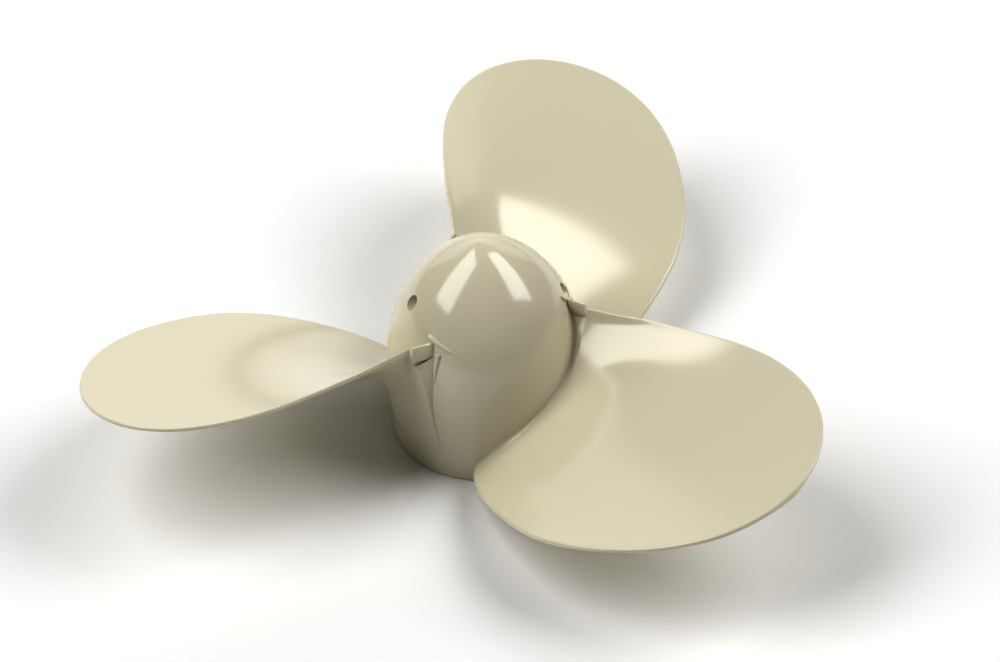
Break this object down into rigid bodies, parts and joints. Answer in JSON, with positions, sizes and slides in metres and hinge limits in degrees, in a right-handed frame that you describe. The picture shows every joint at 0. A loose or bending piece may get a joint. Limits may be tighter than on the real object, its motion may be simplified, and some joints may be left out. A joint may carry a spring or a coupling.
{
  "type": "boat propeller",
  "caption": "Small boat propeller cast in one piece, with an egg-nosed hub, broad raked blades, a blind shaft bore and a cross hole for a drive pin.",
  "frame": {"origin": "centre of the shaft bore's mouth, in the plane of the hub's flat front face, on which the propeller stands", "axes": "+Z along the shaft axis from the front face to the nose, +X along the cross hole for the drive pin"},
  "size_m": [0.1662, 0.1698, 0.054],
  "materials": {
    "cream_enamel": "gloss cream enamel, worn and chipped to dark bronze at the edges, the nose and the pin hole"
  },
  "bodies": {
    "root": {"propeller_casting": "cream_enamel"}
  },
  "joints": []
}
